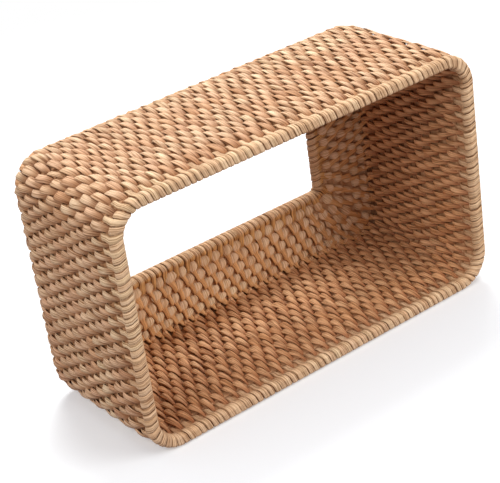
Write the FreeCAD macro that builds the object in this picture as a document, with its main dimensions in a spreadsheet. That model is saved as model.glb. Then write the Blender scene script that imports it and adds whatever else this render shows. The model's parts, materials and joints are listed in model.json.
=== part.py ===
import FreeCAD, Part

import math
import os
from collections import Counter
from dataclasses import dataclass, replace

import Sketcher

# Open-bottomed tissue box cover of coiled rattan, in millimetres.
# Level hoops of round rattan core start at the base rim, climb the walls, turn over the rounded
# shoulder and close in over the top panel as far as the tissue slot. A sleeve of rattan peel binds
# each hoop to its neighbours. The base rim stands on Z = 0, the origin is at the middle of the base,
# X runs along the length and Y along the width.

SIZES = {
    # Overall outside sizes.
    "cover_length": 260.0,
    "cover_width": 155.0,
    "cover_height": 105.0,
    # Outside radius of the four upright corners, seen from above.
    "corner_radius": 21.5,
    # Outside radius where the walls turn into the top panel.
    "shoulder_radius": 9.0,
    # Width of the panel between the outside of a wall and the edge of the slot.
    "panel_border": 52.0,
    # Radius of the slot's four corners at its edge.
    "slot_corner_radius": 3.0,
    # Round core of an ordinary course, and the rattan peel bound round it.
    "core_diameter": 4.5,
    "peel_thickness": 1.1,
    "core_clearance": 0.1,
    # Outside of the two rims with their wraps, and the depth of the flat that the base rim stands on.
    "rim_diameter": 7.6,
    "foot_flat": 0.35,
    # Smallest space left between neighbouring bindings.
    "course_gap": 0.15,
}

# Sizes that follow from the driving ones, as expressions over the sheet.
PEEL = "(sizes.peel_thickness + sizes.core_clearance)"
COIL = f"(sizes.core_diameter + 2 * {PEEL})"
RIM_CORE = f"(sizes.rim_diameter - 2 * {PEEL})"
RIM_HEIGHT = "(sizes.rim_diameter / 2 - sizes.foot_flat)"
RIM_TOP = "(sizes.rim_diameter - sizes.foot_flat)"
PANEL_HEIGHT = f"(sizes.cover_height - {COIL} / 2)"
BEND_RADIUS = f"(sizes.shoulder_radius - {COIL} / 2)"
BEND_HEIGHT = "(sizes.cover_height - sizes.shoulder_radius)"
FIRST_HEIGHT = f"({RIM_TOP} + sizes.course_gap + {COIL} / 2)"
LAST_INSET = f"(sizes.panel_border - sizes.rim_diameter - sizes.course_gap - {COIL} / 2)"
SLOT_RIM_INSET = "(sizes.panel_border - sizes.rim_diameter / 2)"
SLOT_RIM_CORNER = "(sizes.slot_corner_radius + sizes.rim_diameter / 2)"

# The courses are spaced along a line that climbs the wall, rounds the shoulder and crosses the panel.
WALL_RUN = f"({BEND_HEIGHT} - {FIRST_HEIGHT})"
BEND_RUN = f"({BEND_RADIUS} * pi / 2)"
PANEL_RUN = f"({LAST_INSET} - sizes.shoulder_radius)"
COURSE_RUN = f"({WALL_RUN} + {BEND_RUN} + {PANEL_RUN})"

START, END, CENTRE = range(1, 4)
X_AXIS, Y_AXIS = range(-1, -3, -1)
VOLUME_TOLERANCE = 0.002


@dataclass
class Hoop:
    """One level hoop: its name, the place of its centre line and its outside, as expressions."""

    name: str
    inset: str
    height: str
    corner: str
    core: str
    outside: str
    footed: bool = False


def add_sheet(doc):
    """Write the driving sizes into an aliased sheet."""
    sheet = doc.addObject("Spreadsheet::Sheet", "sizes")
    for row, (name, size) in enumerate(SIZES.items(), start=1):
        sheet.set(f"A{row}", name)
        sheet.set(f"B{row}", str(size))
        sheet.setAlias(f"B{row}", name)
    doc.recompute()
    return sheet


def measure(sheet, expression):
    """Give the number that an expression over the sheet has now."""
    return float(sheet.evalExpression(expression.replace("sizes.", "")))


def panel_corner(inset):
    """Corner radius on the panel: it goes evenly from the shoulder's radius to the slot rim's."""
    shoulder_corner = "(sizes.corner_radius - sizes.shoulder_radius)"
    share = f"(({inset} - sizes.shoulder_radius) / ({SLOT_RIM_INSET} - sizes.shoulder_radius))"
    return f"({shoulder_corner} + {share} * ({SLOT_RIM_CORNER} - {shoulder_corner}))"


def course_hoop(sheet, number, spaces):
    """Place one ordinary course on the wall, the shoulder or the panel, and name it after that zone."""
    along = f"({COURSE_RUN} * {number} / {spaces})"
    wall = measure(sheet, f"{WALL_RUN} - {along}")
    bend = measure(sheet, f"{WALL_RUN} + {BEND_RUN} - {along}")
    if wall >= 0:
        zone = "wall"
        inset = f"({COIL} / 2)"
        height = f"({FIRST_HEIGHT} + {along})"
        corner = f"(sizes.corner_radius - {inset})"
    elif bend >= 0:
        zone = "shoulder"
        turn = f"(({along} - {WALL_RUN}) / {BEND_RADIUS} * 1 rad)"
        inset = f"(sizes.shoulder_radius - {BEND_RADIUS} * cos({turn}))"
        height = f"({BEND_HEIGHT} + {BEND_RADIUS} * sin({turn}))"
        corner = f"(sizes.corner_radius - {inset})"
    else:
        zone = "panel"
        inset = f"(sizes.shoulder_radius + {along} - {WALL_RUN} - {BEND_RUN})"
        height = PANEL_HEIGHT
        corner = panel_corner(inset)
    return Hoop(zone, inset, height, corner, "sizes.core_diameter", COIL)


def list_courses(sheet):
    """List the ordinary courses from the base upwards, counted within each zone."""
    spaces = math.floor(measure(sheet, f"{COURSE_RUN} / ({COIL} + sizes.course_gap)"))
    counts = Counter()
    courses = []
    for number in range(spaces + 1):
        hoop = course_hoop(sheet, number, spaces)
        counts[hoop.name] += 1
        courses.append(replace(hoop, name=f"{hoop.name}_course_{counts[hoop.name]:02d}"))
    return courses


def bore_diameter(hoop):
    """Give the inside of a hoop's binding: its core and the space round it."""
    return f"({hoop.core} + 2 * sizes.core_clearance)"


def list_hoops(sheet):
    """List every hoop from the base rim to the slot rim."""
    base_inset = "(sizes.rim_diameter / 2)"
    base_corner = f"(sizes.corner_radius - {base_inset})"
    slot_height = "(sizes.cover_height - sizes.rim_diameter / 2)"
    base = Hoop("base_rim", base_inset, RIM_HEIGHT, base_corner, RIM_CORE, "sizes.rim_diameter", True)
    slot = Hoop("slot_rim", SLOT_RIM_INSET, slot_height, SLOT_RIM_CORNER, RIM_CORE, "sizes.rim_diameter")
    return [base, *list_courses(sheet), slot]


def origin_plane(body, role):
    """Find one of a body's own origin planes."""
    return next(feature for feature in body.Origin.OriginFeatures if feature.Role == role)


def attach_sketch(body, name, role):
    """Add a sketch to a body on one of its origin planes."""
    sketch = body.newObject("Sketcher::SketchObject", name)
    sketch.AttachmentSupport = [(origin_plane(body, role), "")]
    sketch.MapMode = "FlatFace"
    return sketch


def bind(sketch, constraint, name, expression):
    """Name a dimension of a sketch and tie it to the sheet."""
    index = sketch.addConstraint(constraint)
    sketch.renameConstraint(index, name)
    sketch.setExpression(f"Constraints.{name}", expression)


def centre_line(body, hoop, sheet):
    """Sketch a hoop's centre line: a rounded rectangle that starts in the middle of its +X side."""
    half_length = f"(sizes.cover_length / 2 - {hoop.inset})"
    half_width = f"(sizes.cover_width / 2 - {hoop.inset})"
    along = measure(sheet, half_length)
    across = measure(sheet, half_width)
    radius = measure(sheet, hoop.corner)
    inner_x = along - radius
    inner_y = across - radius
    corners = [
        (along, 0), (along, inner_y), (inner_x, across), (-inner_x, across), (-along, inner_y),
        (-along, -inner_y), (-inner_x, -across), (inner_x, -across), (along, -inner_y), (along, 0),
    ]
    centres = [(inner_x, inner_y), (-inner_x, inner_y), (-inner_x, -inner_y), (inner_x, -inner_y)]
    sketch = attach_sketch(body, f"{body.Name}_line", "XY_Plane")
    sketch.setExpression("AttachmentOffset.Base.z", hoop.height)
    for index in range(len(corners) - 1):
        quarter = index // 2
        if index % 2:
            circle = Part.Circle(FreeCAD.Vector(*centres[quarter], 0), FreeCAD.Vector(0, 0, 1), radius)
            turn = quarter * math.pi / 2
            sketch.addGeometry(Part.ArcOfCircle(circle, turn, turn + math.pi / 2))
        else:
            ends = [FreeCAD.Vector(*corner, 0) for corner in corners[index:index + 2]]
            sketch.addGeometry(Part.LineSegment(*ends))
    first_side, first_arc, top_side, left_side, bottom_side, last_side = 0, 1, 2, 4, 6, 8
    for index in range(last_side):
        sketch.addConstraint(Sketcher.Constraint("Tangent", index, END, index + 1, START))
    sketch.addConstraint(Sketcher.Constraint("Coincident", last_side, END, first_side, START))
    sketch.addConstraint(Sketcher.Constraint("Symmetric", top_side, START, top_side, END, Y_AXIS))
    sketch.addConstraint(Sketcher.Constraint("Symmetric", left_side, START, left_side, END, X_AXIS))
    sketch.addConstraint(Sketcher.Constraint("Vertical", first_side))
    sketch.addConstraint(Sketcher.Constraint("Vertical", last_side))
    sketch.addConstraint(Sketcher.Constraint("Horizontal", bottom_side))
    sketch.addConstraint(Sketcher.Constraint("PointOnObject", first_side, START, X_AXIS))
    for arc in range(first_arc + 2, last_side, 2):
        sketch.addConstraint(Sketcher.Constraint("Equal", first_arc, arc))
    bind(sketch, Sketcher.Constraint("Radius", first_arc, radius), "corner", hoop.corner)
    bind(sketch, Sketcher.Constraint("DistanceX", first_side, START, along), "half_length", half_length)
    bind(sketch, Sketcher.Constraint("DistanceY", top_side, START, across), "half_width", half_width)
    return sketch


def add_circle(sketch, hoop, sheet, name, diameter):
    """Add a circle round the hoop's centre line to a cross-section."""
    half_length = f"(sizes.cover_length / 2 - {hoop.inset})"
    along = measure(sheet, half_length)
    height = measure(sheet, hoop.height)
    radius = measure(sheet, diameter) / 2
    circle = Part.Circle(FreeCAD.Vector(along, height, 0), FreeCAD.Vector(0, 0, 1), radius)
    index = sketch.addGeometry(circle)
    bind(sketch, Sketcher.Constraint("Diameter", index, 2 * radius), f"{name}_diameter", diameter)
    bind(sketch, Sketcher.Constraint("DistanceX", index, CENTRE, along), f"{name}_along", half_length)
    bind(sketch, Sketcher.Constraint("DistanceY", index, CENTRE, height), f"{name}_height", hoop.height)


def add_footed_circle(sketch, hoop, sheet, name):
    """Add the base rim's outside to a cross-section: a circle cut off flat along Z = 0."""
    half_length = f"(sizes.cover_length / 2 - {hoop.inset})"
    along = measure(sheet, half_length)
    height = measure(sheet, hoop.height)
    radius = measure(sheet, hoop.outside) / 2
    half_foot = math.sqrt(radius ** 2 - height ** 2)
    turn = math.atan2(-height, half_foot)
    circle = Part.Circle(FreeCAD.Vector(along, height, 0), FreeCAD.Vector(0, 0, 1), radius)
    arc = sketch.addGeometry(Part.ArcOfCircle(circle, turn, math.pi - turn))
    ends = [FreeCAD.Vector(along + side * half_foot, 0, 0) for side in (-1, 1)]
    foot = sketch.addGeometry(Part.LineSegment(*ends))
    sketch.addConstraint(Sketcher.Constraint("Coincident", arc, END, foot, START))
    sketch.addConstraint(Sketcher.Constraint("Coincident", foot, END, arc, START))
    sketch.addConstraint(Sketcher.Constraint("PointOnObject", foot, START, X_AXIS))
    sketch.addConstraint(Sketcher.Constraint("PointOnObject", foot, END, X_AXIS))
    bind(sketch, Sketcher.Constraint("Radius", arc, radius), f"{name}_radius", f"{hoop.outside} / 2")
    bind(sketch, Sketcher.Constraint("DistanceX", arc, CENTRE, along), f"{name}_along", half_length)
    bind(sketch, Sketcher.Constraint("DistanceY", arc, CENTRE, height), f"{name}_height", hoop.height)


def sweep_section(doc, body, section, line, feature):
    """Carry a cross-section once round its centre line, adding or cutting away what it sweeps."""
    pipe = body.newObject(f"PartDesign::{feature}", f"{section.Name}_sweep")
    pipe.Profile = section
    pipe.Spine = (line, [f"Edge{index + 1}" for index in range(line.GeometryCount)])
    pipe.Transition = "Transformed"
    body.Tip = pipe
    doc.recompute()


def add_core(doc, sheet, hoop):
    """Make the round rattan core of one hoop."""
    body = doc.addObject("PartDesign::Body", f"{hoop.name}_core")
    line = centre_line(body, hoop, sheet)
    section = attach_sketch(body, f"{body.Name}_section", "XZ_Plane")
    add_circle(section, hoop, sheet, "core", hoop.core)
    sweep_section(doc, body, section, line, "AdditivePipe")
    return body


def add_binding(doc, sheet, hoop):
    """Make the sleeve of rattan peel that is bound round one hoop's core."""
    body = doc.addObject("PartDesign::Body", f"{hoop.name}_binding")
    line = centre_line(body, hoop, sheet)
    outside = attach_sketch(body, f"{body.Name}_outside", "XZ_Plane")
    if hoop.footed:
        add_footed_circle(outside, hoop, sheet, "outside")
    else:
        add_circle(outside, hoop, sheet, "outside", hoop.outside)
    sweep_section(doc, body, outside, line, "AdditivePipe")
    bore = attach_sketch(body, f"{body.Name}_bore", "XZ_Plane")
    add_circle(bore, hoop, sheet, "bore", bore_diameter(hoop))
    sweep_section(doc, body, bore, line, "SubtractivePipe")
    return body


def centre_line_length(sheet, hoop):
    """Work out the length of a hoop's centre line: its straight sides and its four quarter turns."""
    radius = measure(sheet, hoop.corner)
    straight = measure(sheet, f"(2 * (sizes.cover_length + sizes.cover_width) - 8 * {hoop.inset})") - 8 * radius
    return straight + 2 * math.pi * radius


def circle_area(diameter):
    """Work out the area of a circle."""
    return math.pi / 4 * diameter ** 2


def outside_area(sheet, hoop):
    """Work out the area inside a hoop's outside, less what its foot flat takes off."""
    radius = measure(sheet, hoop.outside) / 2
    area = circle_area(2 * radius)
    if hoop.footed:
        depth = measure(sheet, hoop.height)
        half_angle = math.acos(depth / radius)
        area -= radius ** 2 * half_angle - depth * radius * math.sin(half_angle)
    return area


def check_volume(body, area, length):
    """Stop if a body's volume isn't its section times the length of its centre line."""
    if abs(body.Shape.Volume / (area * length) - 1) > VOLUME_TOLERANCE:
        raise ValueError(f"{body.Label}: volume {body.Shape.Volume:.1f}, expected {area * length:.1f}")


def check_document(doc, bodies):
    """Stop if any object failed or any sub-part isn't one valid solid."""
    for item in doc.Objects:
        if "Invalid" in item.State or "Error" in item.State:
            raise ValueError(f"{item.Label} failed: {item.State}")
    for body in bodies:
        shape = body.Shape
        if shape.isNull() or not shape.isValid() or len(shape.Solids) != 1:
            raise ValueError(f"{body.Label} isn't one valid solid")


def write_parts(bodies):
    """Write each sub-part to a file of its own name."""
    os.makedirs("parts", exist_ok=True)
    for body in bodies:
        body.Shape.exportStep(os.path.join("parts", f"{body.Label}.step"))


def main():
    """Build every hoop's core and binding, check them and write them."""
    doc = FreeCAD.newDocument("tissue_box_cover")
    sheet = add_sheet(doc)
    bodies = []
    for hoop in list_hoops(sheet):
        core = add_core(doc, sheet, hoop)
        binding = add_binding(doc, sheet, hoop)
        length = centre_line_length(sheet, hoop)
        bore_area = circle_area(measure(sheet, bore_diameter(hoop)))
        check_volume(core, circle_area(measure(sheet, hoop.core)), length)
        check_volume(binding, outside_area(sheet, hoop) - bore_area, length)
        bodies += [core, binding]
    doc.recompute()
    check_document(doc, bodies)
    write_parts(bodies)
    print(f"{len(bodies)} sub-parts")


main()
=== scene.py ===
"""Looks of an open-bottomed tissue box cover of coiled rattan.

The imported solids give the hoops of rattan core. This script binds them with single stitches of rattan peel,
wraps the slot rim and the base rim, gives every piece its finish, and sets up the floor, lights and camera.
"""

import json
import logging
import math
from dataclasses import dataclass, field
from enum import Enum
from typing import Any

import bpy
import numpy as np
from mathutils import Matrix, Vector

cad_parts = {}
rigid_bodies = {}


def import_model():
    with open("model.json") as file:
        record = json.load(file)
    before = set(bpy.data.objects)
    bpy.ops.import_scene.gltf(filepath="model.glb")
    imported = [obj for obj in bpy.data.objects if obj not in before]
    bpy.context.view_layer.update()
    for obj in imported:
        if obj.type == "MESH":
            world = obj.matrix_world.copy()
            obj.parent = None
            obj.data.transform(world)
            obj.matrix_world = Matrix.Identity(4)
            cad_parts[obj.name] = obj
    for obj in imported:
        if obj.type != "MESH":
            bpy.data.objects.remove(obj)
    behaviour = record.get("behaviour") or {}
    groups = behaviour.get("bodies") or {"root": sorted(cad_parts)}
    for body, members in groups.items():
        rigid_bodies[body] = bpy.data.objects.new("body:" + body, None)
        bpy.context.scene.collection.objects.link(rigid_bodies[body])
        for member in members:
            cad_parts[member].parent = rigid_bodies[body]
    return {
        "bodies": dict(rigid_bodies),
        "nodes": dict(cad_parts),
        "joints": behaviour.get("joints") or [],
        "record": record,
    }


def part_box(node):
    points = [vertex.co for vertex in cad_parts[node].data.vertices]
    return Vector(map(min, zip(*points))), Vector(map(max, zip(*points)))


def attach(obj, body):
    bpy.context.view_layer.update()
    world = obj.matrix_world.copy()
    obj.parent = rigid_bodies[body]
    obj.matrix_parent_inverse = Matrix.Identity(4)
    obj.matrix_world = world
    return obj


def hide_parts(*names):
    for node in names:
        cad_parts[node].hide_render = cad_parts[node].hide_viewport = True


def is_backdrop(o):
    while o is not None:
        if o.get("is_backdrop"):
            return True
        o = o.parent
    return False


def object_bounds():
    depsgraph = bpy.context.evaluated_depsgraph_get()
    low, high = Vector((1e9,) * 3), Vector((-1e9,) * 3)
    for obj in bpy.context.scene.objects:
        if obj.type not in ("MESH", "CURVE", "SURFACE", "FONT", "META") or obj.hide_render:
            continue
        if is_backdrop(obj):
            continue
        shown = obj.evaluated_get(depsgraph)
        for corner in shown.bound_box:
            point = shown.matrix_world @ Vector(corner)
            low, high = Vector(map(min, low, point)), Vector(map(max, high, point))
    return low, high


Triple = tuple[float, float, float]
Stops = tuple[tuple[float, Triple], ...]
Array = np.ndarray
Arrays = tuple[Array, Array, Array]
Piece = bpy.types.Object
Material = bpy.types.Material
Socket = bpy.types.NodeSocket

LOG = logging.getLogger("tissue_box_cover")
MM = 0.001
SEED = 385
BODY = "root"
UV_LAYER = "strip"
STRIP_VALUES = ("tone", "blush", "inside", "seed")
WHITE: Triple = (1.0, 1.0, 1.0)
UP = np.array([0.0, 0.0, 1.0])
# Zones of a row: the straight middle of each side, and each corner.
ZONES = 8
# Shares of a cell: half of one, and the step over which the spacing of strips is measured.
HALF_CELL = 0.5
SPACING_STEP = 0.05


class Face(Enum):
    """The two faces of the woven shell, with the sign of their normal."""

    OUTER = 1.0
    INNER = -1.0


class Rim(Enum):
    """The two wrapped edges."""

    SLOT = "slot"
    BASE = "base"


@dataclass(frozen=True)
class StitchShape:
    """Sizes of one stitch of peel, in metres.

    A stitch leaves the crease above its own course, swells over that course, narrows over the next course
    and dives into the crease below that one.
    """

    start_half_width: float = 2.0 * MM
    bump_half_width: float = 2.3 * MM
    tail_half_width: float = 2.15 * MM
    end_half_width: float = 1.7 * MM
    narrowing: float = 0.42
    softness: float = 0.08
    squareness: float = 8.0
    bump_crown: float = 0.8 * MM
    tail_crown: float = 0.6 * MM
    start_height: float = 1.8 * MM
    end_height: float = 1.0 * MM
    start_power: float = 12.0
    end_power: float = 10.0
    lift: float = 0.4 * MM
    fall: float = 0.0
    arch: float = 4.6 * MM
    peak: float = 0.36
    lean: float = 0.2 * MM
    hinge: float = 0.0
    sway: float = 0.15 * MM
    twist: float = 0.2
    least_spacing: float = 0.8
    most_spacing: float = 1.15


@dataclass(frozen=True)
class Wander:
    """How far hand-pulled stitches stray from each other."""

    place: float = 0.26 * MM
    width: float = 0.11
    height: float = 0.08 * MM
    lean: float = 0.5 * MM
    twist: float = 0.12


@dataclass
class PeelMesh:
    """Blocks of closed strips, gathered before they go into one mesh."""

    blocks: list[tuple[Array, Array, Array, bool]] = field(default_factory=list)

    def add(self, points: Array, uvs: Array, values: Array, closed: bool = False) -> None:
        """Add strips.

        Args:
            points: Strip, ring and section point positions, shaped (strips, rings, section, 3).
            uvs: Across and along coordinates, shaped (strips, rings, section, 2).
            values: Tone, blush, inside and seed of each strip, shaped (strips, 4).
            closed: Whether each strip's last ring joins its first.
        """
        self.blocks.append((points, uvs, values, closed))

    def to_object(self, name: str) -> Piece:
        """Make the mesh object of all strips.

        Args:
            name: Name of the piece.

        Returns:
            The new object, at the origin.
        """
        places: list[Array] = []
        uvs: list[Array] = []
        values: list[Array] = []
        quads: list[Array] = []
        caps: list[Array] = []
        first = 0
        for block, block_uvs, block_values, closed in self.blocks:
            strips, rings, section, _ = block.shape
            index = first + np.arange(strips * rings * section).reshape(strips, rings, section)
            later = np.roll(index, -1, axis=1)
            turned = np.roll(index, -1, axis=2)
            both = np.roll(later, -1, axis=2)
            faces = np.stack([index, later, both, turned], axis=-1)
            quads.append((faces if closed else faces[:, :-1]).reshape(-1, 4))
            if not closed:
                caps += [index[:, 0], index[:, -1, ::-1]]
            places.append(block.reshape(-1, 3))
            uvs.append(block_uvs.reshape(-1, 2))
            values.append(np.repeat(block_values, rings * section, axis=0))
            first += index.size
        joined = [np.concatenate(arrays) for arrays in (places, uvs, values)]
        return make_object(name, [*quads, *caps], *joined)


def make_object(name: str, faces: list[Array], places: Array, uvs: Array, values: Array) -> Piece:
    """Put face and vertex arrays into a new mesh object.

    Args:
        name: Name of the piece.
        faces: Arrays of faces, each with one row of vertex numbers for a face.
        places: Vertex positions, shaped (vertices, 3).
        uvs: Vertex UV coordinates, shaped (vertices, 2).
        values: Vertex attribute values, shaped (vertices, 4).

    Returns:
        The new object, linked to the scene at the origin.
    """
    corners = np.concatenate([group.reshape(-1) for group in faces]).astype(np.int32)
    sizes = np.concatenate([np.full(len(group), group.shape[1]) for group in faces]).astype(np.int32)
    starts = np.concatenate([[0], np.cumsum(sizes)[:-1]]).astype(np.int32)
    mesh = bpy.data.meshes.new(name)
    mesh.vertices.add(len(places))
    mesh.vertices.foreach_set("co", places.astype(np.float32).reshape(-1))
    mesh.loops.add(len(corners))
    mesh.loops.foreach_set("vertex_index", corners)
    mesh.polygons.add(len(sizes))
    mesh.polygons.foreach_set("loop_start", starts)
    mesh.polygons.foreach_set("loop_total", sizes)
    mesh.polygons.foreach_set("use_smooth", np.ones(len(sizes), bool))
    layer = mesh.uv_layers.new(name=UV_LAYER)
    layer.data.foreach_set("uv", uvs[corners].astype(np.float32).reshape(-1))
    for column, label in enumerate(STRIP_VALUES):
        attribute = mesh.attributes.new(label, "FLOAT", "POINT")
        attribute.data.foreach_set("value", values[:, column].astype(np.float32))
    mesh.update(calc_edges=True)
    mesh.validate()
    piece = bpy.data.objects.new(name, mesh)
    bpy.context.scene.collection.objects.link(piece)
    return piece


def unit(vectors: Array) -> Array:
    """Scale vectors to length one."""
    return vectors / np.linalg.norm(vectors, axis=-1, keepdims=True)


@dataclass
class Coil:
    """Centre lines of all hoops, from the slot rim in row 0 to the base rim in the last row.

    Each centre line is a level rounded rectangle. A place on it is a cell coordinate: eight zones, one for the
    straight middle of each side and one for each corner, and a share of the zone. A coordinate therefore names
    matching places on neighbouring rows, also where their lengths differ.
    """

    names: list[str]
    stitch_pitch: float = 8.25 * MM
    long_pitch: float = 8.5 * MM
    short_pitch: float = 8.1 * MM
    least_pitch: float = 0.85
    long_cells: int = 15
    short_cells: int = 2
    core_radius: Array = field(init=False)
    bound_radius: Array = field(init=False)
    half_length: Array = field(init=False)
    half_width: Array = field(init=False)
    corner: Array = field(init=False)
    height: Array = field(init=False)
    profile_normal: Array = field(init=False)
    cells: Array = field(init=False)
    zone_start: Array = field(init=False)
    zone_length: Array = field(init=False)
    leg_start: Array = field(init=False)
    leg_place: Array = field(init=False)
    leg_heading: Array = field(init=False)

    def __post_init__(self) -> None:
        """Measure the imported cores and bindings, and lay out the cells."""
        self.measure()
        self.face_profile()
        self.divide()
        self.lay_legs()

    @staticmethod
    def find(frame: dict[str, Any]) -> "Coil":
        """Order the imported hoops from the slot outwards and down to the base.

        Args:
            frame: The loaded frame.

        Returns:
            The coil of all hoops.
        """
        names = [name.removesuffix("_core") for name in frame["nodes"] if name.endswith("_core")]

        def order(name: str) -> float:
            """Grow along the panel and then down the wall."""
            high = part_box(f"{name}_core")[1]
            return high.x - high.z

        return Coil(sorted(names, key=order))

    def measure(self) -> None:
        """Read radii, half sizes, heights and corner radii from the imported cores.

        The furthest point of a core towards a corner lies half sizes less corner radius, plus root two times
        the outer turn, so that reach gives the corner radius.
        """
        boxes = [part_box(f"{name}_core") for name in self.names]
        low = np.array([box[0] for box in boxes])
        high = np.array([box[1] for box in boxes])
        self.core_radius = (high[:, 2] - low[:, 2]) / 2
        bound = np.array([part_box(f"{name}_binding")[1].x for name in self.names])
        self.bound_radius = bound - high[:, 0] + self.core_radius
        self.half_length = high[:, 0] - self.core_radius
        self.half_width = high[:, 1] - self.core_radius
        self.height = (high[:, 2] + low[:, 2]) / 2
        reach = np.array([corner_reach(f"{name}_core") for name in self.names])
        spare = self.half_length + self.half_width + math.sqrt(2) * self.core_radius - reach
        self.corner = spare / (2 - math.sqrt(2))

    def face_profile(self) -> None:
        """Work out each row's outward normal in the upright section.

        It is square to the line through the row's neighbours. The slot rim faces up and the base rim outwards.
        """
        profile = np.stack([self.half_length, self.height], axis=1)
        run = unit(np.gradient(profile, axis=0))
        self.profile_normal = np.stack([-run[:, 1], run[:, 0]], axis=1)
        self.profile_normal[0] = (0.0, 1.0)
        self.profile_normal[-1] = (1.0, 0.0)

    def divide(self) -> None:
        """Divide every row into zones, and each zone into cells about one stitch pitch long.

        Rows over the shoulder keep the wall's count of corner cells, so that their stitches still break joint.
        """
        rows = len(self.names)
        long_half = self.long_cells * self.long_pitch / 2
        short_half = self.short_cells * self.short_pitch / 2
        turn = self.corner * math.pi / 2
        bend = self.half_width + self.half_length - 2 * self.corner + turn - short_half - long_half
        corner_cells = np.round(bend / self.stitch_pitch).astype(int)
        wall_cells = corner_cells[-1]
        kept = bend / wall_cells >= self.least_pitch * self.stitch_pitch
        corner_cells = np.where(kept, wall_cells, corner_cells)
        side_short = np.full(rows, 2 * short_half)
        side_long = np.full(rows, 2 * long_half)
        self.zone_length = np.stack([side_short, bend, side_long, bend] * 2, axis=1)
        self.zone_start = np.cumsum(self.zone_length, axis=1) - self.zone_length
        short = np.full(rows, self.short_cells)
        long = np.full(rows, self.long_cells)
        self.cells = np.stack([short, corner_cells, long, corner_cells] * 2, axis=1)

    def lay_legs(self) -> None:
        """Lay each row's straight and turning legs end to end, from the start of its first zone."""
        short_half = self.short_cells * self.short_pitch / 2
        inner_x = self.half_length - self.corner
        inner_y = self.half_width - self.corner
        turn = self.corner * math.pi / 2
        lengths = [inner_y + short_half, turn, 2 * inner_x, turn, 2 * inner_y, turn, 2 * inner_x, turn]
        self.leg_start = np.stack([np.zeros_like(turn), *np.cumsum(lengths, axis=0)], axis=1)
        along = self.half_length
        across = self.half_width
        start = np.full_like(along, -short_half)
        places = (
            (along, start), (along, inner_y), (inner_x, across), (-inner_x, across), (-along, inner_y),
            (-along, -inner_y), (-inner_x, -across), (inner_x, -across), (along, -inner_y),
        )
        self.leg_place = np.stack([np.stack(pair, axis=-1) for pair in places], axis=1)
        quarters = np.array([1, 1, 2, 2, 3, 3, 4, 4, 5])
        self.leg_heading = math.pi / 2 * quarters

    def locate(self, rows: Array, coordinates: Array) -> Arrays:
        """Find places on the centre lines.

        A straight leg moves along its heading. A turning leg of radius r moves from heading a to a + d / r, by
        r times the change of (sine, minus cosine).

        Args:
            rows: Row numbers.
            coordinates: Cell coordinates, of the same shape.

        Returns:
            Points, unit vectors out of the wall and unit vectors along the row, each shaped (..., 3).
        """
        coordinates = np.mod(coordinates, ZONES)
        zone = np.minimum(coordinates.astype(int), ZONES - 1)
        distance = self.zone_start[rows, zone] + (coordinates - zone) * self.zone_length[rows, zone]
        leg = (distance[..., None] >= self.leg_start[rows][..., 1:]).sum(axis=-1)
        step = distance - np.take_along_axis(self.leg_start[rows], leg[..., None], axis=-1)[..., 0]
        heading = self.leg_heading[leg]
        radius = self.corner[rows]
        turning = leg % 2 == 1
        later = heading + np.where(turning, step / radius, 0.0)
        shift_x = np.where(turning, radius * (np.sin(later) - np.sin(heading)), step * np.cos(heading))
        shift_y = np.where(turning, -radius * (np.cos(later) - np.cos(heading)), step * np.sin(heading))
        place = self.leg_place[rows, leg]
        points = np.stack([place[..., 0] + shift_x, place[..., 1] + shift_y, self.height[rows]], axis=-1)
        flat = np.zeros_like(later)
        outward = np.stack([np.sin(later), -np.cos(later), flat], axis=-1)
        along = np.stack([np.cos(later), np.sin(later), flat], axis=-1)
        return points, outward, along

    def between(self, rows: Array, coordinates: Array) -> Arrays:
        """Find places on and between rows, by going straight from one row to the next.

        Args:
            rows: Row numbers with fractions.
            coordinates: Cell coordinates, of the same shape.

        Returns:
            Points, unit vectors out of the outer face and unit vectors along the row.
        """
        rows = np.clip(rows, 0.0, len(self.names) - 1.0)
        lower = np.minimum(rows.astype(int), len(self.names) - 2)
        share = (rows - lower)[..., None]
        one, two = self.locate(lower, coordinates), self.locate(lower + 1, coordinates)
        points, outward, along = ((1 - share) * a + share * b for a, b in zip(one, two))
        normal = (1 - share) * self.profile_normal[lower] + share * self.profile_normal[lower + 1]
        facing = unit(outward) * normal[..., :1] + UP * normal[..., 1:]
        return points, unit(facing), unit(along)

    def spacing(self, rows: Array, places: Array, height: Array, cells: Array) -> Array:
        """Measure how far apart neighbouring stitches stand, compared with the stitch pitch.

        Args:
            rows: Row numbers with fractions.
            places: Cell coordinates, of the same shape.
            height: Signed height above the centre lines, of the same shape.
            cells: Number of cells in the zone of each place.

        Returns:
            Spacing over stitch pitch, of the same shape.
        """
        step = SPACING_STEP / cells
        ends = []
        for side in (-step, step):
            points, facing, _ = self.between(rows, places + side)
            ends.append(points + height[..., None] * facing)
        return np.linalg.norm(ends[1] - ends[0], axis=-1) / (2 * SPACING_STEP * self.stitch_pitch)

    def cells_at(self, row: int, places: Array) -> Array:
        """Give the number of cells in the zone of each cell coordinate of one row."""
        return self.cells[row, np.mod(places, ZONES).astype(int)]

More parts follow.
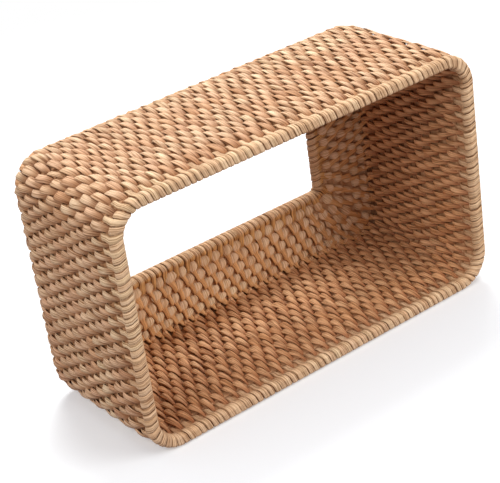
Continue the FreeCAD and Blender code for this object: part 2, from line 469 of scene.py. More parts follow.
    def sleeve(self, row: int, outer: float, inner: float, rings: int = 192, section: int = 12) -> Array:
        """Draw the closed sleeve of peel under one row's stitches.

        Its section is a rounded rectangle, with powers of the sine and cosine. It is as high as a share of the
        bound course on each face, and half as wide as the row spacing to either side.

        Args:
            row: Row number.
            outer: Height over bound radius on the outer face.
            inner: Height over bound radius on the inner face.
            rings: Sections round the row.
            section: Points round the section.

        Returns:
            Section points, shaped (1, rings, section, 3).
        """
        places = np.linspace(0.0, ZONES, rings, endpoint=False)
        rows = np.full(rings, float(row))
        points, facing, along = self.between(rows, places)
        near = [self.between(rows + side, places)[0] for side in (-1, 1)]
        gaps = np.linalg.norm(points - np.stack(near), axis=-1)
        gaps = np.where(gaps > 0, gaps, 2 * self.bound_radius[row] * outer)
        down = np.cross(facing, along)
        turn = np.linspace(0.0, 2 * math.pi, section, endpoint=False)
        cos, sin = np.cos(turn), np.sin(turn)
        reach = np.where(cos < 0, gaps[1][:, None], gaps[0][:, None]) / 2
        wide = reach * np.sign(cos) * np.abs(cos) ** SLEEVE_POWER
        high = self.bound_radius[row] * np.where(sin > 0, outer, -inner) * np.abs(sin) ** SLEEVE_POWER
        drawn = points[:, None] + wide[..., None] * down[:, None] + high[None, :, None] * facing[:, None]
        return drawn[None]

    def stitch_places(self, row: int, shift: float) -> Array:
        """List the cell coordinates of one row's stitches.

        Args:
            row: Row number.
            shift: Share of a cell at which each stitch stands.

        Returns:
            Cell coordinates, in order round the row.
        """
        zones = enumerate(self.cells[row])
        return np.concatenate([zone + (np.arange(count) + shift) / count for zone, count in zones])


def corner_reach(node: str) -> float:
    """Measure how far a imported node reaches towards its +X +Y corner.

    Args:
        node: Name of the node.

    Returns:
        The largest sum of x and y over its vertices.
    """
    mesh = bpy.data.objects[node].data
    places = np.zeros(len(mesh.vertices) * 3, np.float32)
    mesh.vertices.foreach_get("co", places)
    return float((places[0::3] + places[1::3]).max())


# Stitches on the outside of the walls, the outside of the shoulder and panel, the inside of the walls and
# shoulder, and the inside of the panel.
OUTER_STITCH = StitchShape()
TOP_STITCH = StitchShape(
    tail_half_width=2.3 * MM,
    end_half_width=2.0 * MM,
    bump_crown=0.7 * MM,
    start_height=1.0 * MM,
    start_power=4.0,
    end_power=7.0,
    lift=0.1 * MM,
    arch=2.2 * MM,
    most_spacing=1.7,
)
INNER_STITCH = StitchShape(
    start_half_width=1.3 * MM,
    bump_half_width=2.5 * MM,
    tail_half_width=1.65 * MM,
    end_half_width=1.1 * MM,
    narrowing=0.46,
    softness=0.12,
    squareness=5.0,
    bump_crown=0.9 * MM,
    tail_crown=0.55 * MM,
    arch=5.2 * MM,
)
PANEL_STITCH = StitchShape(
    start_half_width=2.4 * MM,
    bump_half_width=3.95 * MM,
    tail_half_width=1.6 * MM,
    end_half_width=1.4 * MM,
    narrowing=0.33,
    softness=0.045,
    squareness=5.0,
    bump_crown=1.05 * MM,
    tail_crown=0.75 * MM,
    lift=-0.2 * MM,
    start_height=1.0 * MM,
    start_power=8.0,
    fall=-0.5 * MM,
    arch=0.0,
    lean=2.0 * MM,
    hinge=0.38,
    most_spacing=1.25,
)
# Height of a sleeve on its outer and inner face, over the bound radius. The rims have the wall's.
SLEEVE_SHARES = {"wall": (0.66, 0.66), "shoulder": (0.4, 0.8), "panel": (0.66, 0.8)}
SLEEVE_POWER = 0.3
# Tone of the sleeves: the dark low end of the peel's tones, painted shade in the creases between stitches.
SHADED_SLEEVE_TONE = 0.12
# Lowest and highest UV coordinates of a sleeve, clear of the painted shade at a strip's edges and ends.
SLEEVE_ACROSS = (0.2, 0.8)
SLEEVE_ALONG = (0.2, 0.34)
# Section of a strip in shares of its half width and its crown, from one edge over the crown to the other edge
# and back under the middle.
SECTION = np.array([(-1, 0), (-0.78, 0.8), (0, 1), (0.78, 0.8), (1, 0), (0, -0.45)])


def sweep_strips(centres: Array, across: Array, half_width: Array, crown: Array, twist: Array) -> Array:
    """Carry a crowned strip section along many paths.

    Each section lies square to its path: its width runs along the part of the across vector that is square to
    the path, turned by the twist, and its crown stands on the path's other normal.

    Args:
        centres: Path points, shaped (strips, rings, 3).
        across: Width directions, shaped (strips, rings, 3).
        half_width: Half widths, shaped (strips, rings).
        crown: Crown heights, shaped (strips, rings).
        twist: Turns about the path in radians, shaped (strips, rings).

    Returns:
        Section points, shaped (strips, rings, section, 3).
    """
    run = unit(np.gradient(centres, axis=1))
    side = unit(across - (across * run).sum(axis=-1, keepdims=True) * run)
    rise = np.cross(run, side)
    cos, sin = np.cos(twist)[..., None], np.sin(twist)[..., None]
    width = (cos * side + sin * rise) * half_width[..., None]
    lift = (cos * rise - sin * side) * crown[..., None]
    return (
        centres[:, :, None]
        + width[:, :, None] * SECTION[None, None, :, :1]
        + lift[:, :, None] * SECTION[None, None, :, 1:]
    )


def strip_uvs(strips: int, along: Array) -> Array:
    """Give UV coordinates to strips.

    Args:
        strips: How many strips there are.
        along: Share of the strip's length at each ring.

    Returns:
        UV coordinates, shaped (strips, rings, section, 2), across in U and along in V.
    """
    across = (SECTION[:, 0] + 1) / 2
    grid = np.stack(np.meshgrid(across, along), axis=-1)
    return np.broadcast_to(grid, (strips, *grid.shape))


@dataclass
class PeelTones:
    """Draws of the seeded tones of the peel: a strand runs on for many stitches in nearly one tone."""

    rng: np.random.Generator
    shortest_strand: int = 8
    longest_strand: int = 26
    middle_tone: float = 0.5
    strand_spread: float = 0.16
    stitch_spread: float = 0.1
    least_tone: float = 0.12
    most_tone: float = 0.94
    accent_share: float = 0.006
    accent_tone: float = 1.0
    middle_blush: float = 0.35
    strand_blush_spread: float = 0.25
    stitch_blush_spread: float = 0.15

    def draw(self, count: int, inside: float) -> Array:
        """Draw the values of one course's stitches.

        Args:
            count: How many stitches there are.
            inside: Share of the inner face's warmer tone.

        Returns:
            Tone, blush, inside and seed of each stitch, shaped (count, 4).
        """
        lengths = self.rng.integers(self.shortest_strand, self.longest_strand, count)
        strand = np.repeat(np.arange(count), lengths)[:count]
        tone = self.rng.normal(self.middle_tone, self.strand_spread, count)[strand]
        tone = tone + self.rng.normal(0.0, self.stitch_spread, count)
        tone = np.clip(tone, self.least_tone, self.most_tone)
        accent = (self.rng.random(count) < self.accent_share)[strand]
        tone = np.where(accent, self.accent_tone, tone)
        blush = self.rng.normal(self.middle_blush, self.strand_blush_spread, count)[strand]
        blush = np.clip(blush + self.rng.normal(0.0, self.stitch_blush_spread, count), 0.0, 1.0)
        return np.stack([tone, blush, np.full(count, inside), self.rng.random(count)], axis=1)


def add_sleeve(mesh: PeelMesh, coil: Coil, row: int) -> None:
    """Add the sleeve under one row's stitches or wraps.

    Args:
        mesh: Blocks to add to.
        coil: The hoops.
        row: Row number.
    """
    kind = coil.names[row].split("_")[0]
    sleeve = coil.sleeve(row, *SLEEVE_SHARES.get(kind, SLEEVE_SHARES["wall"]))
    _, rings, section, _ = sleeve.shape
    across, along = np.linspace(*SLEEVE_ACROSS, section), np.linspace(*SLEEVE_ALONG, rings)
    grid = np.stack(np.meshgrid(across, along), axis=-1)
    # The sleeve's low, dark tone is painted shade in the creases.
    values = np.array([[SHADED_SLEEVE_TONE, 0.0, 0.0, row / len(coil.names)]])
    mesh.add(sleeve, grid[None], values, closed=True)


@dataclass
class Stitching:
    """The courses of single stitches between the two rims."""

    coil: Coil
    tones: PeelTones
    wander: Wander = Wander()
    rings: int = 13
    first_share: float = 0.25
    start_above: float = 0.5
    courses: float = 2.0

    def stitch_share(self, row: int, face: Face) -> float:
        """Give the share of a cell at which a row's stitches stand, so that neighbouring rows break joint."""
        return (self.first_share + HALF_CELL * (row % 2 + (face is Face.INNER))) % 1.0

    def stitch_shape(self, row: int, face: Face) -> StitchShape:
        """Pick the shape of a row's stitches.

        Args:
            row: Row number of the course.
            face: Face of the shell.

        Returns:
            The shape for that course and face.
        """
        name = self.coil.names[row]
        if face is Face.OUTER:
            return OUTER_STITCH if name.startswith("wall") else TOP_STITCH
        return PANEL_STITCH if name.startswith("panel") else INNER_STITCH

    def add_face(self, mesh: PeelMesh, row: int, face: Face) -> None:
        """Add one course's stitches on one face.

        Along a stitch, from t = 0 to t = 1 over two courses, the height is a parabola about its peak, and the
        half width falls from bump to tail in a logistic step. At both ends the stitch drops into the crease
        and is drawn in with a power of |2t - 1|.

        Args:
            mesh: Blocks to add to.
            row: Row number of the course.
            face: Face of the shell.
        """
        rng = self.tones.rng
        places = self.coil.stitch_places(row, self.stitch_share(row, face))
        count = len(places)
        t = (1 - np.cos(np.linspace(0.0, math.pi, self.rings))) / 2
        spread = np.ones((count, 1))
        rows, coordinates = row - self.start_above + self.courses * t * spread, places[:, None] + 0 * t
        points, facing, along = self.coil.between(rows, coordinates)
        wander, sign = self.wander, face.value
        shape = self.stitch_shape(row, face)
        radius = self.coil.bound_radius[row]
        ends, starting = np.abs(2 * t - 1), t < 0.5
        bump = 1 / (1 + np.exp((t - shape.narrowing) / shape.softness))
        top = radius + shape.lift - shape.fall * t - shape.arch * (t - shape.peak) ** 2
        top = top + rng.normal(0.0, wander.height, (count, 1))
        foot = np.where(starting, shape.start_height, shape.end_height)
        height = foot + (top - foot) * (1 - ends ** np.where(starting, shape.start_power, shape.end_power))
        lean = shape.lean + rng.normal(0.0, wander.lean, (count, 1))
        slide = lean * (2 * np.maximum(t, shape.hinge) - 1) - shape.sway * np.sin(2 * math.pi * t)
        slide = slide + rng.normal(0.0, wander.place, (count, 1))
        width = shape.tail_half_width + (shape.bump_half_width - shape.tail_half_width) * bump
        end_width = np.where(starting, shape.start_half_width, shape.end_half_width)
        width = end_width + (width - end_width) * (1 - ends**shape.squareness)
        cells = self.coil.cells_at(row, places)[:, None]
        spacing = self.coil.spacing(rows, coordinates, sign * height, cells)
        width = width * np.clip(spacing, shape.least_spacing, shape.most_spacing)
        width = width * (1 + rng.normal(0.0, wander.width, (count, 1)))
        crown = (shape.tail_crown + (shape.bump_crown - shape.tail_crown) * bump) * spread
        twist = (rng.normal(0.0, wander.twist, (count, 1)) - sign * shape.twist) * np.cos(math.pi * t)
        centres = points + sign * height[..., None] * facing + sign * slide[..., None] * along
        strips = sweep_strips(centres, sign * along, width, crown, twist)
        values = self.tones.draw(count, 0.0 if face is Face.OUTER else 1.0)
        mesh.add(strips, strip_uvs(count, t), values)

    def build(self, row: int) -> Piece:
        """Build one course's stitches on both faces.

        Args:
            row: Row number of the course.

        Returns:
            The piece that stands for the course's binding.
        """
        mesh = PeelMesh()
        add_sleeve(mesh, self.coil, row)
        for face in Face:
            self.add_face(mesh, row, face)
        return mesh.to_object(f"{self.coil.names[row]}_stitches")


@dataclass
class RimWrapping:
    """The close wraps round one rim.

    Short wraps go round the rim alone, and straps also hold the next course. An arc gives the first and last
    turn about the rim, in degrees from the outer face, and the number of stations on it.
    """

    coil: Coil
    tones: PeelTones
    rim: Rim
    width_share: float = 0.46
    strap_tail: float = 0.9
    tail_from: float = 0.72
    end_half_width: float = 1.5 * MM
    squareness: float = 10.0
    crown: float = 0.7 * MM
    sink: float = 0.5 * MM
    slant: float = 0.25
    slant_reach: float = 5.5 * MM
    strap_arc: tuple[float, float, int] = (0.0, 180.0, 7)
    wrap_arc: tuple[float, float, int] = (-34.0, 214.0, 9)
    crease_depth: float = 0.25
    bridge: float = 0.9
    wraps_per_cell: int = 2
    wander: Wander = Wander()
    steps: int = 3

    def rows(self) -> tuple[int, int, int]:
        """Give the rim's row and the next two rows away from it."""
        last = len(self.coil.names) - 1
        return (0, 1, 2) if self.rim is Rim.SLOT else (last, last - 1, last - 2)

    def stations(self, places: Array, strap: bool) -> tuple[Array, Array]:
        """Lay the stations of a wrap's path in the upright section.

        The path comes up out of a crease on the outer face, goes round the rim in steps of about 30 degrees
        and ends in the same crease on the inner face. A strap starts one course further back and bridges the
        crease.

        Args:
            places: Cell coordinates of the wraps.
            strap: Whether the wraps are straps.

        Returns:
            Station points, shaped (wraps, stations, 3), and unit vectors along the row, shaped (wraps, 3).
        """
        coil, rows = self.coil, self.rows()
        found = [coil.locate(np.full(len(places), row), places) for row in rows]
        centre, near_centre, far_centre = (points for points, _, _ in found)
        _, outward, along = found[0]
        up = np.broadcast_to(UP, centre.shape)
        front, edge = (up, -outward) if self.rim is Rim.SLOT else (outward, -up)
        reach, near_reach = (coil.bound_radius[row] - self.sink for row in rows[:2])
        turns = np.radians(np.linspace(*(self.strap_arc if strap else self.wrap_arc)))
        around = [centre + reach * (math.cos(a) * front + math.sin(a) * edge) for a in turns]
        crease = (centre + near_centre) / 2
        holds = [(crease, self.crease_depth * reach)]
        if strap:
            far_crease = (near_centre + far_centre) / 2
            holds = [
                (far_crease, self.crease_depth * near_reach),
                (near_centre, near_reach),
                (crease, self.bridge * near_reach),
            ]
        lead = [place + depth * front for place, depth in holds]
        tail = [place - depth * front for place, depth in reversed(holds)]
        return np.stack([*lead, *around, *tail], axis=1), along

    def add_wraps(self, mesh: PeelMesh, shift: float, strap: bool) -> None:
        """Add one wrap to every cell of the rim.

        The path is a uniform Catmull-Rom curve through the stations. Round the rim it moves evenly along the
        row, a quarter of a cell to either side, so that it meets the stitches of both faces.

        Args:
            mesh: Blocks to add to.
            shift: Share of a cell at which each wrap stands.
            strap: Whether the wraps are straps.
        """
        rng = self.tones.rng
        sign = -1.0 if self.rim is Rim.SLOT else 1.0
        places = self.coil.stitch_places(self.rows()[0], shift)
        count = len(places)
        stations, along = self.stations(places, strap)
        here = smooth_path(stations, self.steps)
        path = here.copy()
        path[..., 2] = np.maximum(path[..., 2], self.crown)
        t = np.linspace(0.0, 1.0, path.shape[1])
        travel = np.cumsum(np.linalg.norm(np.diff(path, axis=1, prepend=path[:, :1]), axis=-1), axis=1)
        travel = (travel - travel[:, -1:] / 2) / self.slant_reach
        slide = sign * self.slant * self.coil.stitch_pitch * np.clip(travel, -1.0, 1.0)
        slide = slide + rng.normal(0.0, self.wander.place / 2, (count, 1))
        step = SPACING_STEP / self.coil.cells_at(self.rows()[0], places)
        after = smooth_path(self.stations(places + step, strap)[0], self.steps)
        spacing = np.linalg.norm(after - here, axis=-1) / (self.wraps_per_cell * SPACING_STEP)
        path = path + slide[..., None] * along[:, None]
        ends = np.abs(2 * t - 1)
        narrowed = np.where((ends > self.tail_from) & strap, self.strap_tail, 1.0)
        body = spacing * self.width_share * narrowed
        width = self.end_half_width + (body - self.end_half_width) * (1 - ends**self.squareness)
        width = width * (1 + rng.normal(0.0, self.wander.width / 2, (count, 1)))
        crown = np.full((count, len(t)), self.crown)
        across = np.broadcast_to(along[:, None], path.shape)
        strips = sweep_strips(path, sign * across, width, crown, np.zeros_like(width))
        values = self.tones.draw(count, 1.0)
        mesh.add(strips, strip_uvs(count, t), values)

    def build(self, name: str, row: int, wraps: tuple[tuple[float, bool], ...]) -> Piece:
        """Build one piece of wraps and the sleeve of a row.

        Args:
            name: Name of the piece.
            row: Row number of the sleeve.
            wraps: For each set of wraps, the share of a cell at which they stand and whether they are straps.

        Returns:
            The piece that stands for the row's binding.
        """
        mesh = PeelMesh()
        add_sleeve(mesh, self.coil, row)
        for shift, strap in wraps:
            self.add_wraps(mesh, shift, strap)
        return mesh.to_object(name)


def smooth_path(stations: Array, steps: int) -> Array:
    """Draw a Catmull-Rom curve through stations.

    Between stations p1 and p2 the curve is half of 2 p1 + (p2 - p0) s + (2 p0 - 5 p1 + 4 p2 - p3) s^2
    + (3 p1 - p0 - 3 p2 + p3) s^3, for s from 0 to 1. The end stations are doubled.

    Args:
        stations: Points to pass through, shaped (paths, stations, 3).
        steps: Points drawn for each stretch between stations.

    Returns:
        Curve points, shaped (paths, (stations - 1) * steps + 1, 3).
    """
    padded = np.concatenate([stations[:, :1], stations, stations[:, -1:]], axis=1)[:, :, None]
    p0, p1, p2, p3 = padded[:, :-3], padded[:, 1:-2], padded[:, 2:-1], padded[:, 3:]
    s = np.linspace(0.0, 1.0, steps, endpoint=False)[None, None, :, None]
    curve = 0.5 * (
        2 * p1 + (p2 - p0) * s + (2 * p0 - 5 * p1 + 4 * p2 - p3) * s**2 + (3 * p1 - p0 - 3 * p2 + p3) * s**3
    )
    flat = curve.reshape(len(stations), -1, 3)
    return np.concatenate([flat, stations[:, -1:]], axis=1)


@dataclass(frozen=True)
class Grain:
    """One noise pattern of fibres: how it is stretched, how fine it is and how rough."""

    stretch: Triple = (1.0, 1.0, 1.0)
    scale: float = 1.0
    detail: float = 3.0
    roughness: float = 0.6


class NodeTree:
    """Short ways to add and join shader nodes in one material or world."""

    def __init__(self, owner: Material | bpy.types.World) -> None:
        """Start an empty tree.

        Args:
            owner: Material or world that the tree is for.
        """
        owner.use_nodes = True
        self.tree = owner.node_tree
        self.tree.nodes.clear()

    def add(self, kind: str, inputs: dict[str | int, Any] | None = None, **settings: Any) -> bpy.types.Node:
        """Add a node.

        Args:
            kind: Node type without its ShaderNode prefix.
            inputs: Input names or numbers, to values or output sockets.
            settings: Node properties to set.

        Returns:
            The new node.
        """
        node = self.tree.nodes.new(f"ShaderNode{kind}")
        for name, value in settings.items():
            setattr(node, name, value)
        for key, value in (inputs or {}).items():
            if isinstance(value, Socket):
                self.tree.links.new(value, node.inputs[key])
            else:
                node.inputs[key].default_value = value
        return node

    def math(self, operation: str, one: Any, two: Any = 0.0) -> Socket:
        """Add a Math node and give its output."""
        return self.add("Math", {0: one, 1: two}, operation=operation).outputs[0]

    def blend(self, mode: str, factor: Any, one: Any, two: Any) -> Socket:
        """Add a colour Mix node and give its output."""
        inputs = {0: factor, 6: one, 7: two}
        return self.add("Mix", inputs, data_type="RGBA", blend_type=mode, clamp_factor=True).outputs[2]

    def step(self, value: Any, low: float, high: float) -> Socket:
        """Add a smooth step, from nought at the low value to one at the high value, and give its output."""
        inputs = {"Value": value, "From Min": low, "From Max": high}
        return self.add("MapRange", inputs, interpolation_type="SMOOTHSTEP").outputs[0]

    def fold(self, value: Any, power: float) -> Socket:
        """Give a power of |2 x - 1|, which is nought half way and one at both ends."""
        centred = self.math("SUBTRACT", self.math("MULTIPLY", value, 2.0), 1.0)
        return self.math("POWER", self.math("ABSOLUTE", centred), power)

    def ramp(self, factor: Any, stops: Stops) -> Socket:
        """Add a colour ramp.

        Args:
            factor: Value that picks the colour.
            stops: Positions and colours, in order.

        Returns:
            The ramp's colour output.
        """
        node = self.add("ValToRGB", {0: factor})
        elements = node.color_ramp.elements
        while len(elements) < len(stops):
            elements.new(1.0)
        for element, (position, colour) in zip(elements, stops):
            element.position = position
            element.color = (*colour, 1.0)
        return node.outputs[0]

    def noise(self, place: Socket, grain: Grain) -> Socket:
        """Add a stretched noise pattern.

        Args:
            place: Coordinates that it follows.
            grain: The pattern.

        Returns:
            The pattern's value output.
        """
        mapped = self.add("Mapping", {"Vector": place, "Scale": grain.stretch}).outputs[0]
        inputs = {"Vector": mapped, "Scale": grain.scale, "Detail": grain.detail, "Roughness": grain.roughness}
        return self.add("TexNoise", inputs).outputs["Fac"]

    def mix(self, factor: Any, one: Socket, two: Socket) -> Socket:
        """Mix two shaders and give the result."""
        return self.add("MixShader", {0: factor, 1: one, 2: two}).outputs[0]

    def finish(self, shader: Socket, kind: str = "OutputMaterial") -> None:
        """Join a shader to the tree's output."""
        self.add(kind, {"Surface": shader})


@dataclass(frozen=True)
class RattanPeel:
    """Finish of split rattan peel: satin skin with long fibres, toned strand by strand."""

    name: str
    tones: Stops = (
        # The lowest stop gives the sleeves their dark reddish-brown, painted shade in the creases.
        (0.0, (0.34, 0.14, 0.05)),
        (0.15, (0.67, 0.385, 0.2)),
        (0.3, (0.775, 0.5, 0.29)),
        (0.55, (0.85, 0.605, 0.375)),
        (0.8, (0.89, 0.685, 0.445)),
        (0.95, (0.89, 0.71, 0.45)),
        (1.0, (0.84, 0.52, 0.21)),
    )
    blush: Triple = (0.8, 0.48, 0.31)
    blush_share: float = 0.55
    # Warmer tone of the inner faces: partly the peel's own colour, partly painted warm bounce light inside the
    # cover. The rims' finishes use it as a tint on every wrap.
    inside: Triple = (1.0, 0.53, 0.22)
    inside_share: float = 0.5
    # Colours and shares of the painted shade towards each strip's end, where its tail dives under the next
    # course or the wrap goes into the crease. On the panel they also give the tails' own warmer tone.
    tail: Triple = (0.4, 0.18, 0.07)
    inside_tail_shade: Triple = (0.43, 0.145, 0.05)
    tail_shade_share: float = 0.83
    inside_tail_shade_share: float = 0.74
    tail_from: float = 0.35
    tail_to: float = 0.92
    streak_grain: Grain = Grain((5.0, 0.9, 1.0))
    streaks: Stops = ((0.3, (0.8, 0.74, 0.68)), (0.6, WHITE))
    streak_share: float = 0.75
    fibre_grain: Grain = Grain((9.0, 0.8, 3.0), detail=4.0, roughness=0.65)
    fibres: Stops = ((0.36, (0.72, 0.64, 0.56)), (0.54, WHITE))
    fibre_share: float = 0.8
    line_grain: Grain = Grain((5.5, 0.35, 7.0), detail=1.0, roughness=0.5)
    line_level: float = 0.5
    line: Triple = (0.42, 0.3, 0.2)
    line_width: float = 0.07
    # Painted shade in the creases, at the strips' edges and at both ends.
    crease_shade: Triple = (0.48, 0.34, 0.24)
    edge_shade: float = 0.3
    edge_power: float = 5.0
    tip_shade: float = 0.5
    tip_power: float = 6.0
    seed_spread: float = 50.0
    roughness: float = 0.6
    shine: float = 0.25
    relief: float = 0.5
    relief_depth: float = 0.2 * MM

    def make(self) -> Material:
        """Make the material.

        Returns:
            The new material.
        """
        material = bpy.data.materials.new(self.name)
        nodes = NodeTree(material)
        tone, blush, inside, seed = (
            nodes.add("Attribute", attribute_name=label).outputs["Fac"] for label in STRIP_VALUES
        )
        parts = nodes.add("SeparateXYZ", {"Vector": nodes.add("UVMap", uv_map=UV_LAYER).outputs["UV"]})
        across, along = parts.outputs["X"], parts.outputs["Y"]
        depth = nodes.math("MULTIPLY", seed, self.seed_spread)
        place = nodes.add("CombineXYZ", {"X": across, "Y": along, "Z": depth}).outputs[0]
        base = nodes.ramp(tone, self.tones)
        base = nodes.blend("MIX", nodes.math("MULTIPLY", blush, self.blush_share), base, (*self.blush, 1.0))
        base = nodes.blend("MIX", nodes.math("MULTIPLY", inside, self.inside_share), base, (*self.inside, 1.0))
        # Painted shade towards each strip's end, where its tail dives under the next course.
        share = nodes.math("MULTIPLY", inside, self.inside_tail_shade_share - self.tail_shade_share)
        share = nodes.math("ADD", share, self.tail_shade_share)
        share = nodes.math("MULTIPLY", nodes.step(along, self.tail_from, self.tail_to), share)
        tail = nodes.blend("MIX", inside, (*self.tail, 1.0), (*self.inside_tail_shade, 1.0))
        base = nodes.blend("MIX", share, base, tail)
        streak = nodes.ramp(nodes.noise(place, self.streak_grain), self.streaks)
        base = nodes.blend("MULTIPLY", self.streak_share, base, streak)
        fibre = nodes.noise(place, self.fibre_grain)
        base = nodes.blend("MULTIPLY", self.fibre_share, base, nodes.ramp(fibre, self.fibres))
        line = nodes.math("SUBTRACT", nodes.noise(place, self.line_grain), self.line_level)
        clear = nodes.step(nodes.math("ABSOLUTE", line), 0.0, self.line_width)
        base = nodes.blend("MULTIPLY", nodes.math("SUBTRACT", 1.0, clear), base, (*self.line, 1.0))
        # Painted shade at the strips' edges and both ends, where they go into the creases.
        edge = nodes.math("MULTIPLY", nodes.fold(across, self.edge_power), self.edge_shade)
        tip = nodes.math("MULTIPLY", nodes.fold(along, self.tip_power), self.tip_shade)
        crease_shade = nodes.math("MINIMUM", nodes.math("ADD", edge, tip), 1.0)
        base = nodes.blend("MULTIPLY", crease_shade, base, (*self.crease_shade, 1.0))
        height = nodes.math("ADD", fibre, clear)
        bump = nodes.add("Bump", {"Strength": self.relief, "Distance": self.relief_depth, "Height": height})
        skin = {"Base Color": base, "Roughness": self.roughness, "Specular IOR Level": self.shine}
        nodes.finish(nodes.add("BsdfPrincipled", {**skin, "Normal": bump.outputs[0]}).outputs[0])
        return material


@dataclass(frozen=True)
class RattanCore:
    """Finish of the peeled core rods that show between stitches: dull, with fibres round the course."""

    name: str
    cloud_grain: Grain = Grain(scale=260.0)
    # Dark browns of the core: partly the rods' own browner colour, partly painted shade of the gaps between
    # stitches where they show.
    shaded_clouds: Stops = ((0.3, (0.24, 0.105, 0.04)), (0.7, (0.42, 0.21, 0.09)))
    fibre_grain: Grain = Grain((1.0, 1.0, 6.0), scale=420.0, detail=4.0, roughness=0.7)
    fibres: Stops = ((0.35, (0.72, 0.7, 0.68)), (0.65, WHITE))
    fibre_share: float = 0.8
    roughness: float = 0.7
    relief: float = 0.3
    relief_depth: float = 0.2 * MM

    def make(self) -> Material:
        """Make the material.

        Returns:
            The new material.
        """
        material = bpy.data.materials.new(self.name)
        nodes = NodeTree(material)
        place = nodes.add("TexCoord").outputs["Object"]
        base = nodes.ramp(nodes.noise(place, self.cloud_grain), self.shaded_clouds)
        fibre = nodes.noise(place, self.fibre_grain)
        base = nodes.blend("MULTIPLY", self.fibre_share, base, nodes.ramp(fibre, self.fibres))
        bump = nodes.add("Bump", {"Strength": self.relief, "Distance": self.relief_depth, "Height": fibre})
        skin = {"Base Color": base, "Roughness": self.roughness, "Normal": bump.outputs[0]}
        nodes.finish(nodes.add("BsdfPrincipled", skin).outputs[0])
        return material


@dataclass
class TissueBoxCover:
    """The whole cover: cores from the frame, stitches and rim wraps."""

    coil: Coil
    slot_width_share: float = 0.48
    core_finish: RattanCore = RattanCore("rattan_core")
    wall_finish: RattanPeel = RattanPeel("wall_peel")
    panel_finish: RattanPeel = RattanPeel(
        "panel_peel",
        blush=(0.9, 0.56, 0.38),
        inside=(1.0, 0.72, 0.44),
        # Tail colours: the panel tails' own orange, together with painted shade where they dive under the next
        # course.
        tail=(0.84, 0.43, 0.16),
        inside_tail_shade=(0.84, 0.43, 0.16),
        tail_shade_share=0.3,
        inside_tail_shade_share=0.85,
        tail_from=0.29,
        tail_to=0.43,
        line=(0.72, 0.58, 0.44),
    )
    slot_finish: RattanPeel = RattanPeel(
        "slot_rim_peel",
        inside=(0.9, 0.58, 0.32),
        # The wraps darken towards their ends as painted shade where they go into the crease.
        inside_tail_shade=(0.78, 0.4, 0.125),
        inside_tail_shade_share=0.85,
        tail_from=0.7,
        tail_to=0.8,
    )
    rim_finish: RattanPeel = RattanPeel(
        "rim_peel",
        blush=(0.76, 0.52, 0.38),
        inside=(0.88, 0.62, 0.36),
        inside_tail_shade_share=0.0,
    )

    def build(self) -> None:
        """Build and dress every piece: the courses row by row, and then the two rims."""
        self.dress_cores()
        finishes = (self.wall_finish, self.panel_finish, self.slot_finish, self.rim_finish)
        peel = {finish.name: finish.make() for finish in finishes}
        tones = PeelTones(np.random.default_rng(SEED))
        stitching = Stitching(self.coil, tones)
        last = len(self.coil.names) - 1
        for row in range(1, last - 1):
            name = self.coil.names[row]
            slot = "panel_peel" if name.startswith("panel") else "wall_peel"
            self.settle(stitching.build(row), f"{name}_binding", peel[slot])
        slot_rim = RimWrapping(self.coil, tones, Rim.SLOT, width_share=self.slot_width_share)
        share = stitching.stitch_share(0, Face.OUTER) - slot_rim.slant
        piece = slot_rim.build("slot_rim_wraps", 0, ((share, True), (share + HALF_CELL, False)))
        self.settle(piece, "slot_rim_binding", peel["slot_rim_peel"])
        base_rim = RimWrapping(self.coil, tones, Rim.BASE)
        share = (stitching.stitch_share(last - 1, Face.OUTER) + base_rim.slant) % 1.0
        name = self.coil.names[last - 1]
        piece = base_rim.build(f"{name}_straps", last - 1, ((share, True),))
        self.settle(piece, f"{name}_binding", peel["rim_peel"])
        piece = base_rim.build("base_rim_wraps", last, (((share + HALF_CELL) % 1.0, False),))
        self.settle(piece, "base_rim_binding", peel["rim_peel"])

    def dress_cores(self) -> None:
        """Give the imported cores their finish."""
        core = self.core_finish.make()
        for name in self.coil.names:
            node = bpy.data.objects[f"{name}_core"]
            node.data.materials.clear()
            node.data.materials.append(core)

    def settle(self, piece: Piece, node: str, material: Material) -> None:
        """Dress a piece and put it in its node's place.

        Args:
            piece: The piece.
            node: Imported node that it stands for.
            material: Finish of the piece.
        """
        piece.data.materials.append(material)
        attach(piece, BODY)
        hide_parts(node)
        LOG.info("%s: %d faces, stands for %s", piece.name, len(piece.data.polygons), node)


@dataclass(frozen=True)
class PaleFloor:
    """Finish of the floor: pale above, clear below, and fading into the white round it."""

    name: str
    colour: Triple = (0.78, 0.815, 0.825)
    glow: float = 0.17
    fade_from: float = 0.3
    fade_to: float = 0.75

    def make(self) -> Material:
        """Make the material.

        Returns:
            The new material.
        """
        material = bpy.data.materials.new(self.name)
        nodes = NodeTree(material)
        diffuse = nodes.add("BsdfDiffuse", {"Color": (*self.colour, 1.0)}).outputs[0]
        glow = nodes.add("Emission", {"Color": (*WHITE, 1.0), "Strength": self.glow}).outputs[0]
        lit = nodes.add("AddShader", {0: diffuse, 1: glow}).outputs[0]
        clear = nodes.add("BsdfTransparent").outputs[0]
        below = nodes.add("NewGeometry").outputs["Backfacing"]
        place = nodes.add("TexCoord").outputs["Object"]
        away = nodes.add("VectorMath", {0: place}, operation="LENGTH").outputs["Value"]
        fade = nodes.step(away, self.fade_from, self.fade_to)
        nodes.finish(nodes.mix(nodes.math("MAXIMUM", below, fade), lit, clear))
        return material


@dataclass(frozen=True)
class Lamp:
    """A square soft lamp: its name, its place, the length of its sides and its power in watts."""

    name: str
    place: Triple
    side: float
    power: float


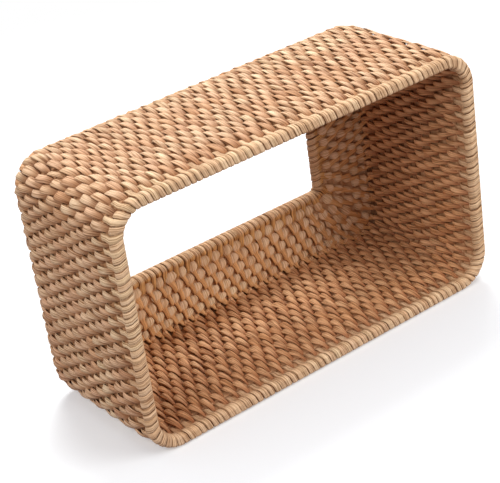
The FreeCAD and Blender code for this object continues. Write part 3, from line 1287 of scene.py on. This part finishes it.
@dataclass
class Studio:
    """Floor, lights and camera.

    The cover lies on its -Y wall, so the floor is the level plane below that wall. The last lamp is a weak one
    for the far sides.
    """

    floor_y: float
    camera_place: Triple = (0.47618, 0.41713, -0.62833)
    camera_forward: Triple = (-0.50154, -0.45881, 0.73346)
    camera_up: Triple = (-0.37868, 0.87869, 0.29071)
    focal_length: float = 113.24
    sensor_width: float = 36.0
    clip_start: float = 0.01
    floor_half: float = 1.0
    floor_finish: PaleFloor = PaleFloor("pale_floor")
    ambient: float = 0.42
    ambient_tint: Triple = (1.0, 0.91, 0.97)
    lamp_aim: Triple = (0.0, 0.0, 0.05)
    lamps: tuple[Lamp, ...] = (
        Lamp("overhead_lamp", (-0.15, 1.4, 0.2), 1.5, 4.0),
        Lamp("back_lamp", (-0.35, 1.05, 0.65), 0.6, 13.3),
        Lamp("front_lamp", (-0.85, 0.65, -1.1), 1.0, 14.5),
        Lamp("side_lamp", (0.95, 0.75, -0.3), 0.6, 7.4),
        Lamp("fill_lamp", (-0.9, -0.5, 0.9), 1.0, 5.0),
    )

    def build(self) -> None:
        """Set up everything round the cover."""
        bpy.context.scene.view_settings.view_transform = "Standard"
        self.add_camera()
        self.add_floor()
        self.add_world()
        self.add_lamps()

    def add_camera(self) -> None:
        """Add the camera at the photograph's viewing angle."""
        camera = bpy.data.cameras.new("camera")
        camera.lens = self.focal_length
        camera.sensor_fit = "HORIZONTAL"
        camera.sensor_width = self.sensor_width
        camera.clip_start = self.clip_start
        holder = bpy.data.objects.new("camera", camera)
        back = -Vector(self.camera_forward).normalized()
        right = Vector(self.camera_up).cross(back).normalized()
        up = back.cross(right)
        turn = Matrix((right, up, back)).transposed().to_4x4()
        holder.matrix_world = Matrix.Translation(self.camera_place) @ turn
        bpy.context.scene.collection.objects.link(holder)
        bpy.context.scene.camera = holder

    def add_floor(self) -> None:
        """Add the floor, which lights nothing and throws no shadow of its own."""
        half = self.floor_half
        corners = [(x * half, self.floor_y, z * half) for x, z in ((-1, -1), (-1, 1), (1, 1), (1, -1))]
        mesh = bpy.data.meshes.new("floor")
        mesh.from_pydata(corners, [], [(0, 1, 2, 3)])
        mesh.update()
        floor = bpy.data.objects.new("floor", mesh)
        bpy.context.scene.collection.objects.link(floor)
        floor.visible_diffuse = False
        floor.visible_glossy = False
        floor.visible_transmission = False
        floor.visible_shadow = False
        mesh.materials.append(self.floor_finish.make())
        floor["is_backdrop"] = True

    def add_world(self) -> None:
        """Add an even studio light that looks white to the camera."""
        world = bpy.data.worlds.new("studio")
        bpy.context.scene.world = world
        nodes = NodeTree(world)
        path = nodes.add("LightPath")
        seen = nodes.math("MAXIMUM", path.outputs["Is Camera Ray"], path.outputs["Is Transmission Ray"])
        even = nodes.add("Background", {"Color": (*self.ambient_tint, 1.0), "Strength": self.ambient})
        white = nodes.add("Background", {"Color": (*WHITE, 1.0), "Strength": 1.0})
        nodes.finish(nodes.mix(seen, even.outputs[0], white.outputs[0]), "OutputWorld")

    def add_lamps(self) -> None:
        """Add the lamps, each facing the cover."""
        for lamp in self.lamps:
            light = bpy.data.lights.new(lamp.name, "AREA")
            light.size = lamp.side
            light.energy = lamp.power
            holder = bpy.data.objects.new(lamp.name, light)
            holder.location = lamp.place
            aim = Vector(self.lamp_aim) - Vector(lamp.place)
            holder.rotation_euler = aim.to_track_quat("-Z", "Y").to_euler()
            bpy.context.scene.collection.objects.link(holder)


def main() -> None:
    """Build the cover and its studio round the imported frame."""
    logging.basicConfig(level=logging.INFO, format="%(name)s: %(message)s")
    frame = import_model()
    cad_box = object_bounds()
    coil = Coil.find(frame)
    LOG.info("rows: %s", ", ".join(coil.names))
    TissueBoxCover(coil).build()
    Studio(floor_y=cad_box[0].y).build()


if __name__ == "__main__":
    main()
